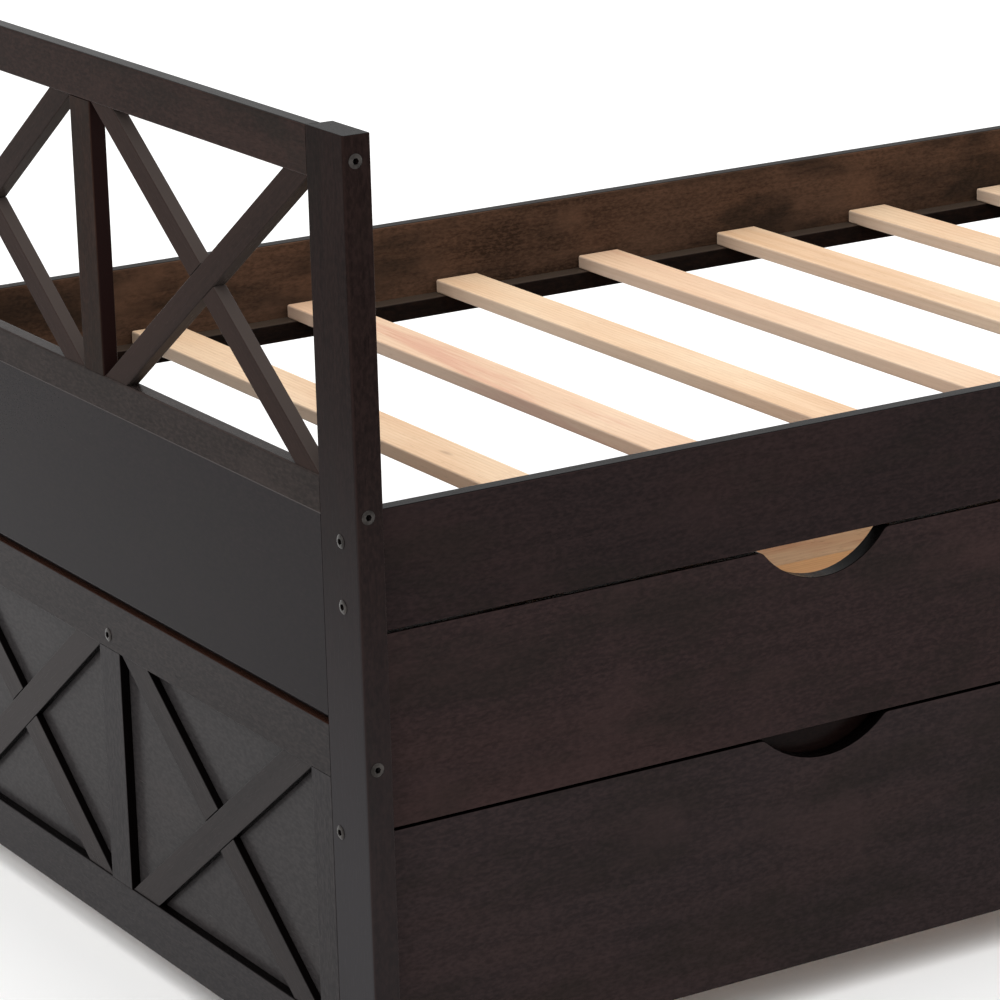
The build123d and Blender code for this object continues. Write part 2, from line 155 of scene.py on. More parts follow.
def espresso(name, grain, deep, warm, warm_share=0.5, figure=0.5, start=(0.0, 0.31, 0.17), satin=0.24,
             lacquer=0.15, blotches=0.0, painted_top_shading=None, sides=None, shown_axis=0, painted_low_reflection=None,
             lit_edge=None):
    """Espresso stain under lacquer, mixed from a deep and a warm tone, on wood cut along grain.

    figure is how much of the grain shows, satin how rough the lacquer is and lacquer how much it
    shines. painted_top_shading is the colour painted on faces that look upward: painted light where it is
    lighter than the stain, painted shade where it is darker. sides is the colour painted on faces
    that don't look along shown_axis, as painted shade or painted light by its tone.
    painted_low_reflection is the painted reflection of the pale floor that grows towards the floor on the
    faces that do look along it, and lit_edge is the painted highlight on the upper eased edge.
    """
    made, tree, shader = new_finish(name)
    where, normal = along_board(tree, grain, start)
    clouds = mottled(tree, where, (2.6, 6.0, 6.0), 3.0, 0.55)
    streaks = mottled(tree, where, (1.1, 24.0, 24.0), 4.0, 0.6, 0.3)
    fibres = mottled(tree, where, (11.0, 330.0, 330.0), 3.0, 0.6)
    pores = mottled(tree, where, (45.0, 900.0, 900.0), 2.0, 0.5)
    rings = year_rings(tree, where, 0.009, 5.0)
    open_pores = eased(tree, pores, 0.60, 0.72)
    redness = sums(tree, "MULTIPLY_ADD", clouds, 0.65, sums(tree, "MULTIPLY", streaks, 0.35))
    red = eased(tree, redness, 0.62 - 0.3 * warm_share, 0.80 - 0.3 * warm_share)
    colour = blended(tree, red, deep, warm)
    late = sums(tree, "MULTIPLY", eased(tree, rings, 0.35, 0.95), figure * 0.4)
    colour = blended(tree, late, colour, scaled(deep, 0.55))
    speckle = mottled(tree, where, (140.0, 330.0, 330.0), 2.0, 0.65)
    colour = blended(tree, eased(tree, speckle, 0.44, 0.66, 0.0, 0.35), colour, scaled(warm, 1.6))
    colour = blended(tree, eased(tree, speckle, 0.50, 0.32, 0.0, 0.3), colour, scaled(deep, 0.45))
    light = sums(tree, "MULTIPLY", eased(tree, fibres, 0.35, 0.72), figure * 0.45)
    colour = blended(tree, light, colour, scaled(warm, 1.5))
    colour = blended(tree, sums(tree, "MULTIPLY", open_pores, figure), colour, black_pore)
    worn = eased(tree, streaks, 0.30, 0.62, 0.15, 0.75)
    worn = sums(tree, "MULTIPLY", rubbed_edges(tree, normal), worn)
    colour = blended(tree, worn, colour, scaled(warm, 1.4))
    if blotches:
        olive = mottled(tree, where, (5.0, 14.0, 14.0), 4.0, 0.65)
        colour = blended(tree, eased(tree, olive, 0.45, 0.65, 0.0, blotches), colour, olive_cast)
        rosy = mottled(tree, where, (7.0, 11.0, 11.0), 4.0, 0.65)
        colour = blended(tree, eased(tree, rosy, 0.50, 0.70, 0.0, blotches), colour, scaled(warm, 1.35))
    coordinates = step(tree, "ShaderNodeTexCoord").outputs
    facing = step(tree, "ShaderNodeSeparateXYZ", {0: coordinates["Normal"]}).outputs
    along = sums(tree, "ABSOLUTE", facing[shown_axis])
    # Faces that don't look along shown_axis are painted the sides colour: painted shade where it is dark,
    # painted light where it is light.
    if sides:
        colour = blended(tree, eased(tree, along, 0.9, 0.6), colour, sides)
    # Painted reflection of the pale floor: faces that look along shown_axis turn greyer towards the
    # floor.
    if painted_low_reflection:
        above_floor = step(tree, "ShaderNodeSeparateXYZ", {0: coordinates["Object"]}).outputs[2]
        looking = eased(tree, along, 0.6, 0.9, 0.3, 1.0)
        share = sums(tree, "MULTIPLY", looking, eased(tree, above_floor, 0.85, 0.15))
        colour = blended(tree, share, colour, painted_low_reflection)
    # Painted highlight on upward-tilted eased edges.
    if lit_edge:
        share = sums(tree, "MULTIPLY", eased(tree, facing[2], 0.15, 0.45), eased(tree, along, 0.1, 0.3))
        colour = blended(tree, share, colour, lit_edge)
    # Faces that look upward are painted the painted_top_shading colour: painted light where it is lighter
    # than the stain, painted shade where it is darker.
    if painted_top_shading:
        colour = blended(tree, eased(tree, facing[2], 0.55, 0.9), colour, painted_top_shading)
    tree.links.new(colour, shader.inputs["Base Color"])
    gloss = sums(tree, "MULTIPLY_ADD", fibres, 0.10, satin - 0.05)
    gloss = sums(tree, "MULTIPLY_ADD", clouds, 0.10, sums(tree, "ADD", gloss, -0.05))
    gloss = sums(tree, "MULTIPLY_ADD", open_pores, 0.3 * figure, gloss, clamp=True)
    tree.links.new(gloss, shader.inputs["Roughness"])
    height = sums(tree, "MULTIPLY_ADD", fibres, 0.5, sums(tree, "MULTIPLY", late, 0.25))
    height = sums(tree, "MULTIPLY_ADD", open_pores, -0.5, height)
    bumps = step(tree, "ShaderNodeBump", {"Strength": 0.5 * figure, "Distance": 0.0003, "Height": height})
    tree.links.new(bumps.outputs["Normal"], shader.inputs["Normal"])
    shader.inputs["Specular IOR Level"].default_value = lacquer
    return made


def finish(material, *nodes):
    """Gives CAD nodes their material."""
    for node in nodes:
        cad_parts[node].material_slots[0].material = material


def both_ends(*pieces):
    """Names of the pieces at the left and at the right end."""
    return [end + piece for end in ("left_", "right_") for piece in pieces]


ALONG_BED = (1, 0, 0)
ACROSS_BED = (0, 1, 0)
UPRIGHT = (0, 0, 1)

# The posts' end faces are painted greyer towards the floor, a painted reflection of the pale floor, and
# their upward faces are painted darker as painted shade.
finish(espresso("espresso post", UPRIGHT, deep=(0.0102, 0.0062, 0.0057), warm=(0.0145, 0.0084, 0.0074),
                warm_share=0.5, figure=0.4, lacquer=0.010, blotches=0.3, painted_low_reflection=(0.036, 0.034, 0.036),
                painted_top_shading=(0.0045, 0.0036, 0.0034)),
       *both_ends("front_post", "back_post"))


# ---------------------------------------------------------------------------------------------
# Top rails, middle rails and rails of the lower frames. Straight hardwood rails across each end,
# tenoned between the posts, with eased edges; espresso stain with the grain across the bed. The
# middle and lower rails get greyer copies of the stain, a painted reflection of the pale floor;
# the lower rails' side faces are painted near black as painted shade, the top rails' upward faces
# are painted darker as painted shade and the slot rails' upward faces a lit brown as painted light.

# Near-black painted shade for side walls of recesses, slots and hand holds.
painted_side_shade = (0.0015, 0.0010, 0.0010)
finish(espresso("espresso upper rail", ACROSS_BED, deep=(0.0160, 0.0092, 0.0078),
                warm=(0.0250, 0.0138, 0.0113), warm_share=0.5, figure=0.35, start=(0.2, 0.11, 0.4),
                lacquer=0.014, blotches=0.5, painted_top_shading=(0.0100, 0.0085, 0.0080)),
       *both_ends("top_rail"))
finish(espresso("espresso middle rail", ACROSS_BED, deep=(0.0195, 0.0150, 0.0140),
                warm=(0.0290, 0.0215, 0.0195), warm_share=0.5, figure=0.3, start=(0.2, 0.11, 0.4),
                lacquer=0.016, blotches=0.3),
       *both_ends("middle_rail"))
finish(espresso("espresso foot rail", ACROSS_BED, deep=(0.0230, 0.0212, 0.0222),
                warm=(0.0290, 0.0245, 0.0245), warm_share=0.4, figure=0.3, start=(0.7, 0.21, 0.1),
                lacquer=0.03, sides=painted_side_shade),
       *both_ends("lower_bottom_rail"))
finish(espresso("espresso slot rail", ACROSS_BED, deep=(0.0190, 0.0165, 0.0168),
                warm=(0.0270, 0.0215, 0.0205), warm_share=0.4, figure=0.3, start=(0.2, 0.41, 0.2),
                lacquer=0.03, sides=painted_side_shade, painted_top_shading=(0.030, 0.0125, 0.0080)),
       *both_ends("lower_top_rail"))


# ---------------------------------------------------------------------------------------------
# Upright stiles of the end frames. Short hardwood stiles between the rails, in the middle and
# beside the posts; their grain stands upright.

# The upper stiles' side faces are painted darker as painted shade; the lower stiles are a greyer copy of
# the stain, a painted reflection of the floor, with side faces painted near black as painted shade.
finish(espresso("espresso upper stile", UPRIGHT, deep=(0.0140, 0.0072, 0.0052),
                warm=(0.0235, 0.0118, 0.0083), warm_share=0.5, figure=0.35, start=(0.5, 0.07, 0.23),
                lacquer=0.012, blotches=0.4, sides=(0.0100, 0.0046, 0.0042)),
       *both_ends("upper_stile"))
finish(espresso("espresso lower stile", UPRIGHT, deep=(0.0240, 0.0222, 0.0232),
                warm=(0.0300, 0.0260, 0.0260), warm_share=0.4, figure=0.3, start=(0.5, 0.07, 0.23),
                lacquer=0.03, sides=painted_side_shade),
       *both_ends("lower_stile", "lower_end_stiles"))


# ---------------------------------------------------------------------------------------------
# X braces. In each bay one long slat rises towards the front and two short halves butt against
# it; planed strips set into the frame, with the grain along each strip.

def brace_lean(bay, strip):
    """Angle of a brace whose corners touch opposite corners of its bay."""
    across, up = bay
    return atan2(up, across) + asin(strip / hypot(across, up))


upper_lean = brace_lean(bay=(0.445, 0.2815), strip=0.028)
lower_lean = brace_lean(bay=(0.407, 0.262), strip=0.035)
# lit_side is painted light on the side faces of the upper braces, at 0.55 on the long ones; the lower
# braces get a greyer copy of the stain, a painted reflection of the floor, and near-black sides as
# painted shade.
lit_side = (0.052, 0.041, 0.037)
for level, lean, deep, warm, lacquer, side in (
        ("upper", upper_lean, (0.0105, 0.0064, 0.0054), (0.0185, 0.0105, 0.0085), 0.014, lit_side),
        ("lower", lower_lean, (0.0160, 0.0144, 0.0148), (0.0210, 0.0176, 0.0174), 0.03, painted_side_shade)):
    rising = (0, -cos(lean), sin(lean))
    falling = (0, cos(lean), sin(lean))
    finish(espresso(level + " long brace", rising, deep=deep, warm=warm, warm_share=0.5, figure=0.35,
                    start=(0.1, 0.2, 0.6), lacquer=lacquer, sides=scaled(side, 0.55)),
           *both_ends(level + "_long_braces"))
    finish(espresso(level + " short brace", falling, deep=deep, warm=warm, warm_share=0.5, figure=0.35,
                    start=(0.3, 0.5, 0.1), lacquer=lacquer, sides=side),
           *both_ends(level + "_short_braces"))


# ---------------------------------------------------------------------------------------------
# End panels. A smooth board fills each end below the upper X frame, and a thin one closes the
# recess behind the lower X frame. Fine grained, stained espresso, with very little figure.

# The panel turns greyer towards the floor, a painted reflection of the pale floor, and carries a painted
# highlight along its upper eased edge.
finish(espresso("espresso panel", ACROSS_BED, deep=(0.0090, 0.0064, 0.0072),
                warm=(0.0140, 0.0090, 0.0090), warm_share=0.35, figure=0.06, start=(0.7, 0.25, 0.05),
                lacquer=0.03, blotches=0.25, painted_low_reflection=(0.0155, 0.0140, 0.0150),
                lit_edge=(0.075, 0.066, 0.064)),
       *both_ends("upper_panel"))
# The recess panel is a lighter, greyer copy of the stain: painted light that lifts the shade of the
# recess, and a painted reflection of the floor.
finish(espresso("espresso recess panel", ACROSS_BED, deep=(0.0262, 0.0240, 0.0246),
                warm=(0.0305, 0.0270, 0.0270), warm_share=0.35, figure=0.06, start=(0.4, 0.45, 0.25),
                lacquer=0.04),
       *both_ends("recess_panel"))


# ---------------------------------------------------------------------------------------------
# Side rails and slat ledgers. Solid hardwood rails, 18 mm thick, bolted between the posts; the
# front one is espresso like the drawers, the wall-side one shows browner and blotchier inside.
# Each carries a square strip on its inner face for the slats.

# Upward faces are painted darker on the front and back rails as painted shade, and lighter on the ledgers
# as painted light.
finish(espresso("espresso front rail", ALONG_BED, deep=(0.0130, 0.0088, 0.0090),
                warm=(0.0175, 0.0105, 0.0102), warm_share=0.45, figure=0.4, start=(0.0, 0.3, 0.2),
                lacquer=0.025, blotches=0.35, painted_top_shading=(0.0020, 0.0015, 0.0015)),
       "front_rail")
finish(espresso("brown back rail", ALONG_BED, deep=(0.0270, 0.0150, 0.0095), warm=(0.078, 0.042, 0.026),
                warm_share=0.7, figure=0.35, start=(2.35, 0.4, 0.3), satin=0.42, lacquer=0.04,
                blotches=0.6, painted_top_shading=(0.0060, 0.0040, 0.0030)),
       "back_rail")
finish(espresso("espresso ledger", ALONG_BED, deep=(0.0060, 0.0042, 0.0036),
                warm=(0.0140, 0.0070, 0.0050), warm_share=0.4, figure=0.4, start=(0.9, 0.6, 0.2),
                satin=0.35, lacquer=0.06, painted_top_shading=(0.0500, 0.0360, 0.0270)),
       "bed_ledgers")


# ---------------------------------------------------------------------------------------------
# Stretchers. One rail behind the drawer fronts and one along the middle of the bed, bolted to
# the ends; they hold the drawer runners and are stained like the rest of the frame.

finish(espresso("espresso stretcher", ALONG_BED, deep=(0.0030, 0.0020, 0.0020),
                warm=(0.0070, 0.0035, 0.0030), warm_share=0.45, figure=0.4, start=(0.15, 0.9, 0.35),
                lacquer=0.04),
       "front_stretcher", "centre_stretcher")


# ---------------------------------------------------------------------------------------------
# Frame bolts. Steel connector bolts with low domed heads and a hexagon socket, browned, drawn
# up into barrel nuts that sit crosswise in the rails.

def loose_parts(node):
    """Corners of each separate solid in a CAD node, as lists of points."""
    solids = bmesh.new()
    solids.from_mesh(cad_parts[node].data)
    bmesh.ops.remove_doubles(solids, verts=solids.verts, dist=1e-6)
    seen = set()
    parts = []
    for first in solids.verts:
        if first in seen:
            continue
        seen.add(first)
        edge_of = [first]
        part = []
        while edge_of:
            point = edge_of.pop()
            part.append(point.co.copy())
            for edge in point.link_edges:
                other = edge.other_vert(point)
                if other not in seen:
                    seen.add(other)
                    edge_of.append(other)
        parts.append(part)
    solids.free()
    return parts


def middle_and_size(points):
    """Middle and size of the box round the points."""
    low = Vector([min(point[axis] for point in points) for axis in range(3)])
    high = Vector([max(point[axis] for point in points) for axis in range(3)])
    return (low + high) / 2, high - low


def bolt_places(head_height):
    """Middle of each head's underside, the way the head faces, and the reach of its shank."""
    places = []
    for points in loose_parts("frame_bolts"):
        middle, size = middle_and_size(points)
        axis = max(range(3), key=lambda index: size[index])
        outward = Vector((0, 0, 0))
        outward[axis] = 1.0 if middle[axis] > 0 else -1.0
        tip = max(point[axis] * outward[axis] for point in points)
        middle[axis] = (tip - head_height) * outward[axis]
        places.append((middle, outward, size[axis] - head_height))
    return places


def new_tree(name, sizes):
    """Geometry node tree with a named input for each size, and its group input node."""
    tree = bpy.data.node_groups.new(name, "GeometryNodeTree")
    tree.is_modifier = True
    kinds = {int: "NodeSocketInt", float: "NodeSocketFloat", bpy.types.Material: "NodeSocketMaterial"}
    tree.interface.new_socket("Geometry", in_out="INPUT", socket_type="NodeSocketGeometry")
    for label, value in sizes.items():
        kind = next(kinds[each] for each in kinds if isinstance(value, each))
        tree.interface.new_socket(label, in_out="INPUT", socket_type=kind)
    tree.interface.new_socket("Geometry", in_out="OUTPUT", socket_type="NodeSocketGeometry")
    return tree, step(tree, "NodeGroupInput").outputs


def end_tree(tree, geometry, material):
    """Realizes the pieces, gives them their material and closes the tree."""
    real = step(tree, "GeometryNodeRealizeInstances", {"Geometry": geometry}).outputs[0]
    dressed = step(tree, "GeometryNodeSetMaterial", {"Geometry": real, "Material": material}).outputs[0]
    step(tree, "NodeGroupOutput", {"Geometry": dressed})


def grown(name, tree, sizes, points=None):
    """Plain mesh object made by a tree with these sizes, from points where it needs them."""
    seed = bpy.data.meshes.new(name + " seed")
    if points:
        seed.from_pydata([place for place, _, _ in points], [], [])
        seed.attributes.new("facing", "FLOAT_VECTOR", "POINT")
        seed.attributes.new("reach", "FLOAT", "POINT")
        for index, (_, direction, length) in enumerate(points):
            seed.attributes["facing"].data[index].vector = direction
            seed.attributes["reach"].data[index].value = length
    maker = bpy.data.objects.new(name + " maker", seed)
    bpy.context.scene.collection.objects.link(maker)
    modifier = maker.modifiers.new("maker", "NODES")
    modifier.node_group = tree
    for item in tree.interface.items_tree:
        if item.in_out == "INPUT" and item.name in sizes:
            modifier[item.identifier] = sizes[item.name]
    bpy.context.view_layer.update()
    ready = maker.evaluated_get(bpy.context.evaluated_depsgraph_get())
    mesh = bpy.data.meshes.new_from_object(ready)
    bpy.data.objects.remove(maker)
    mesh.name = name
    made = bpy.data.objects.new(name, mesh)
    bpy.context.scene.collection.objects.link(made)
    return made


def steel(name, tone, rough):
    """Turned steel with faint rings of tool marks, fingered patches and a little grime."""
    made, tree, shader = new_finish(name)
    where, _ = along_board(tree, UPRIGHT, (0, 0, 0))
    patches = mottled(tree, where, (90.0, 90.0, 90.0), 3.0, 0.6)
    scratches = mottled(tree, where, (2600.0, 2600.0, 300.0), 2.0, 0.5)
    colour = blended(tree, eased(tree, patches, 0.35, 0.7), tone, scaled(tone, 0.45))
    tree.links.new(colour, shader.inputs["Base Color"])
    gloss = sums(tree, "MULTIPLY_ADD", patches, 0.2, rough - 0.2)
    gloss = sums(tree, "MULTIPLY_ADD", scratches, 0.2, gloss)
    tree.links.new(gloss, shader.inputs["Roughness"])
    bumps = step(tree, "ShaderNodeBump", {"Strength": 0.2, "Distance": 0.00005, "Height": scratches})
    tree.links.new(bumps.outputs["Normal"], shader.inputs["Normal"])
    shader.inputs["Metallic"].default_value = 1.0
    return made


bolt_sizes = {
    "Head Radius": 0.007,
    "Head Height": 0.0016,
    "Crown": 0.0011,
    "Socket": 0.0056,
    "Socket Depth": 0.0018,
    "Shank Radius": 0.003,
    "Material": steel("browned steel", (0.050, 0.045, 0.042), 0.24),
}


# The shank is drawn from this height down to -1, then stretched to each bolt's reach.
shank_top = -0.05


def bolt_tree(sizes):
    """A bolt at each point: a domed head with a hexagon socket and its lip, and a plain shank."""
    tree, size = new_tree("connector bolts", sizes)
    tall = size["Head Height"]
    disc = step(tree, "GeometryNodeMeshCylinder", {
        "Vertices": 36, "Side Segments": 1, "Fill Segments": 6, "Radius": size["Head Radius"],
        "Depth": tall}, fill_type="TRIANGLE_FAN").outputs["Mesh"]
    place = step(tree, "GeometryNodeInputPosition").outputs[0]
    part = step(tree, "ShaderNodeSeparateXYZ", {0: place}).outputs
    squares = sums(tree, "MULTIPLY_ADD", part[0], part[0], sums(tree, "MULTIPLY", part[1], part[1]))
    share = sums(tree, "DIVIDE", sums(tree, "SQRT", squares), size["Head Radius"])
    fall = sums(tree, "MULTIPLY", sums(tree, "POWER", share, 5.0), size["Crown"])
    upper = sums(tree, "GREATER_THAN", part[2], 0.0)
    fall = sums(tree, "MULTIPLY", sums(tree, "MULTIPLY", fall, -1.0), upper)
    drop = step(tree, "ShaderNodeCombineXYZ", {2: fall}).outputs[0]
    lift = step(tree, "ShaderNodeCombineXYZ", {2: sums(tree, "MULTIPLY", tall, 0.5)}).outputs[0]
    domed = step(tree, "GeometryNodeSetPosition", {"Geometry": disc, "Offset": drop}).outputs[0]
    domed = step(tree, "GeometryNodeTransform", {"Geometry": domed, "Translation": lift}).outputs[0]
    across = sums(tree, "DIVIDE", size["Socket"], 2 * cos(pi / 6))
    key = step(tree, "GeometryNodeMeshCylinder", {
        "Vertices": 6, "Side Segments": 1, "Fill Segments": 1, "Radius": across,
        "Depth": sums(tree, "MULTIPLY", size["Socket Depth"], 2.0)}, fill_type="NGON").outputs["Mesh"]
    key_lift = step(tree, "ShaderNodeCombineXYZ", {2: tall}).outputs[0]
    key = step(tree, "GeometryNodeTransform", {"Geometry": key, "Translation": key_lift}).outputs[0]
    lip = step(tree, "GeometryNodeMeshCone", {
        "Vertices": 24, "Side Segments": 1, "Fill Segments": 1,
        "Radius Top": sums(tree, "MULTIPLY", across, 1.25),
        "Radius Bottom": sums(tree, "MULTIPLY", across, 0.85),
        "Depth": sums(tree, "MULTIPLY", tall, 0.34)}, fill_type="NGON").outputs["Mesh"]
    lip_lift = step(tree, "ShaderNodeCombineXYZ", {2: sums(tree, "MULTIPLY", tall, 0.75)}).outputs[0]
    lip = step(tree, "GeometryNodeTransform", {"Geometry": lip, "Translation": lip_lift}).outputs[0]
    cut = step(tree, "GeometryNodeMeshBoolean", {"Mesh 1": domed}, operation="DIFFERENCE", solver="EXACT")
    tree.links.new(key, cut.inputs["Mesh 2"])
    tree.links.new(lip, cut.inputs["Mesh 2"])
    facing = step(tree, "GeometryNodeInputNamedAttribute", {"Name": "facing"},
                  data_type="FLOAT_VECTOR").outputs[0]
    reach = step(tree, "GeometryNodeInputNamedAttribute", {"Name": "reach"}, data_type="FLOAT").outputs[0]
    turn = step(tree, "FunctionNodeAlignRotationToVector", {"Vector": facing}, axis="Z").outputs[0]
    heads = step(tree, "GeometryNodeInstanceOnPoints", {
        "Points": size["Geometry"], "Instance": cut.outputs["Mesh"], "Rotation": turn}).outputs[0]
    shank = step(tree, "GeometryNodeMeshCylinder", {
        "Vertices": 24, "Side Segments": 1, "Fill Segments": 1, "Radius": size["Shank Radius"],
        "Depth": 1.0 + shank_top}, fill_type="NGON").outputs["Mesh"]
    middle = (0, 0, (shank_top - 1.0) / 2)
    shank = step(tree, "GeometryNodeTransform", {"Geometry": shank, "Translation": middle}).outputs[0]
    long = step(tree, "ShaderNodeCombineXYZ", {0: 1.0, 1: 1.0, 2: reach}).outputs[0]
    shanks = step(tree, "GeometryNodeInstanceOnPoints", {
        "Points": size["Geometry"], "Instance": shank, "Rotation": turn, "Scale": long}).outputs[0]
    joined = step(tree, "GeometryNodeJoinGeometry")
    tree.links.new(heads, joined.inputs[0])
    tree.links.new(shanks, joined.inputs[0])
    end_tree(tree, joined.outputs[0], size["Material"])
    return tree


bolts = grown("bolts", bolt_tree(bolt_sizes), bolt_sizes, bolt_places(bolt_sizes["Head Height"]))
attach(bolts, "frame")
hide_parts("frame_bolts")
finish(steel("zinc plated steel", (0.55, 0.54, 0.52), 0.34),
       "barrel_nuts", "wheel_axles", "wheel_brackets")


# ---------------------------------------------------------------------------------------------
# Bed slats. Ten planed strips of light hardwood, 58 x 16 mm with eased edges, laid loose across
# the ledgers and evenly spaced; each was sawn from its own plank, so colour and figure differ.

rust_streak = (0.56, 0.25, 0.15)
pore_brown = (0.30, 0.16, 0.08)
fibre_brown = (0.28, 0.16, 0.09)
knot_brown = (0.16, 0.065, 0.03)
rosy_plank = (0.66, 0.43, 0.33)
# Painted shade for the slats' side faces.
painted_slat_side_shade = (0.47, 0.385, 0.335)


def bare_wood(name, grain, pale, tan, plank=None, start=(0.0, 0.2, 0.3)):
    """Unfinished light hardwood: soft rings, fine fibres, rusty streaks and a few pin knots.

    plank names the attribute that gives each slat its own part of the pattern.
    """
    made, tree, shader = new_finish(name)
    where, _ = along_board(tree, grain, start, plank)
    clouds = mottled(tree, where, (3.0, 9.0, 9.0), 3.0, 0.55)
    streaks = mottled(tree, where, (1.6, 45.0, 45.0), 4.0, 0.62, 0.4)
    fibres = mottled(tree, where, (14.0, 520.0, 520.0), 3.0, 0.6)
    pores = mottled(tree, where, (60.0, 1100.0, 1100.0), 2.0, 0.5)
    rings = year_rings(tree, where, 0.006, 7.0)
    colour = blended(tree, eased(tree, clouds, 0.3, 0.7), pale, tan)
    late = sums(tree, "MULTIPLY", eased(tree, rings, 0.45, 1.0), 0.26)
    late_wood = tuple(part * share for part, share in zip(tan, (0.82, 0.70, 0.55)))
    colour = blended(tree, late, colour, late_wood)
    light = sums(tree, "MULTIPLY", eased(tree, streaks, 0.5, 0.75), 0.5)
    colour = blended(tree, light, colour, scaled(pale, 1.15))
    rusty = eased(tree, mottled(tree, where, (1.4, 16.0, 16.0), 5.0, 0.68, 0.6), 0.56, 0.70, 0.0, 0.55)
    if plank:
        tone = step(tree, "ShaderNodeAttribute", attribute_name="tone").outputs["Fac"]
        rusty = sums(tree, "MULTIPLY", rusty, sums(tree, "MULTIPLY_ADD", tone, 1.5, 0.2), clamp=True)
    colour = blended(tree, rusty, colour, rust_streak)
    open_pores = eased(tree, pores, 0.60, 0.74)
    colour = blended(tree, sums(tree, "MULTIPLY", open_pores, 0.35), colour, pore_brown)
    colour = blended(tree, eased(tree, fibres, 0.35, 0.75, 0.0, 0.16), colour, fibre_brown)
    spots = step(tree, "ShaderNodeVectorMath", {0: where, 1: (3.6, 13.0, 13.0)}, operation="MULTIPLY")
    cells = step(tree, "ShaderNodeTexVoronoi",
                 {"Vector": spots.outputs[0], "Scale": 1.0, "Randomness": 1.0},
                 feature="F1", distance="EUCLIDEAN")
    knot = eased(tree, cells.outputs["Distance"], 0.085, 0.03)
    colour = blended(tree, sums(tree, "MULTIPLY", knot, 0.8), colour, knot_brown)
    if plank:
        colour = blended(tree, sums(tree, "MULTIPLY", tone, 0.35), colour, rosy_plank)
        # The slats' side faces are painted greyer as painted shade.
        facing = step(tree, "ShaderNodeTexCoord").outputs["Normal"]
        away = sums(tree, "ABSOLUTE", step(tree, "ShaderNodeSeparateXYZ", {0: facing}).outputs[0])
        colour = blended(tree, eased(tree, away, 0.5, 0.9, 0.0, 0.45), colour, painted_slat_side_shade)
    tree.links.new(colour, shader.inputs["Base Color"])
    gloss = sums(tree, "MULTIPLY_ADD", fibres, 0.18, sums(tree, "MULTIPLY_ADD", open_pores, 0.15, 0.48))
    tree.links.new(gloss, shader.inputs["Roughness"])
    height = sums(tree, "MULTIPLY_ADD", fibres, 0.6, sums(tree, "MULTIPLY", late, 0.4))
    height = sums(tree, "MULTIPLY_ADD", open_pores, -0.5, height)
    bumps = step(tree, "ShaderNodeBump", {"Strength": 0.4, "Distance": 0.0004, "Height": height})
    tree.links.new(bumps.outputs["Normal"], shader.inputs["Normal"])
    shader.inputs["Specular IOR Level"].default_value = 0.35
    return made


def slat_tree(sizes):
    """A row of cross slats, all from one strip with rounded long edges, each from its own plank."""
    tree, size = new_tree("slat row", sizes)
    section = step(tree, "GeometryNodeCurvePrimitiveQuadrilateral", {
        "Width": size["Width"], "Height": size["Thickness"]}, mode="RECTANGLE").outputs[0]
    section = step(tree, "GeometryNodeFilletCurve", {
        "Curve": section, "Radius": size["Eased Edge"], "Count": 4}, mode="POLY").outputs[0]
    half = sums(tree, "MULTIPLY", size["Length"], 0.5)
    near = step(tree, "ShaderNodeCombineXYZ", {1: sums(tree, "MULTIPLY", half, -1.0)}).outputs[0]
    far = step(tree, "ShaderNodeCombineXYZ", {1: half}).outputs[0]
    line = step(tree, "GeometryNodeCurvePrimitiveLine", {"Start": near, "End": far}).outputs[0]
    strip = step(tree, "GeometryNodeCurveToMesh", {
        "Curve": line, "Profile Curve": section, "Fill Caps": True}).outputs[0]
    strip = step(tree, "GeometryNodeSetShadeSmooth",
                 {"Geometry": strip, "Shade Smooth": False}).outputs[0]
    first = step(tree, "ShaderNodeCombineXYZ", {0: size["First"], 2: size["Middle Height"]}).outputs[0]
    pitch = step(tree, "ShaderNodeCombineXYZ", {0: size["Pitch"]}).outputs[0]
    places = step(tree, "GeometryNodeMeshLine", {
        "Count": size["Count"], "Start Location": first, "Offset": pitch}, mode="OFFSET").outputs[0]
    row = step(tree, "GeometryNodeInstanceOnPoints", {"Points": places, "Instance": strip}).outputs[0]
    slip = size["Slip"]
    back = sums(tree, "MULTIPLY", slip, -1.0)
    low = step(tree, "ShaderNodeCombineXYZ", {0: back, 1: back}).outputs[0]
    high = step(tree, "ShaderNodeCombineXYZ", {0: slip, 1: slip}).outputs[0]
    seed = size["Seed"]
    nudge = step(tree, "FunctionNodeRandomValue", {0: low, 1: high, "Seed": seed},
                 data_type="FLOAT_VECTOR")
    row = step(tree, "GeometryNodeTranslateInstances", {
        "Instances": row, "Translation": nudge.outputs[0], "Local Space": False}).outputs[0]
    own = step(tree, "FunctionNodeRandomValue", {0: (-9, -0.3, -0.3), 1: (9, 0.3, 0.3), "Seed": seed},
               data_type="FLOAT_VECTOR")
    row = step(tree, "GeometryNodeStoreNamedAttribute", {
        "Geometry": row, "Name": "plank", "Value": own.outputs[0]},
        data_type="FLOAT_VECTOR", domain="INSTANCE").outputs[0]
    tone = step(tree, "FunctionNodeRandomValue", {2: 0.0, 3: 1.0, "Seed": seed}, data_type="FLOAT")
    row = step(tree, "GeometryNodeStoreNamedAttribute", {
        "Geometry": row, "Name": "tone", "Value": tone.outputs[1]},
        data_type="FLOAT", domain="INSTANCE").outputs[0]
    end_tree(tree, row, size["Material"])
    return tree


slat_count = 10
slat_width = 0.058
slat_slip = 0.0006
slat_edge = 0.0022


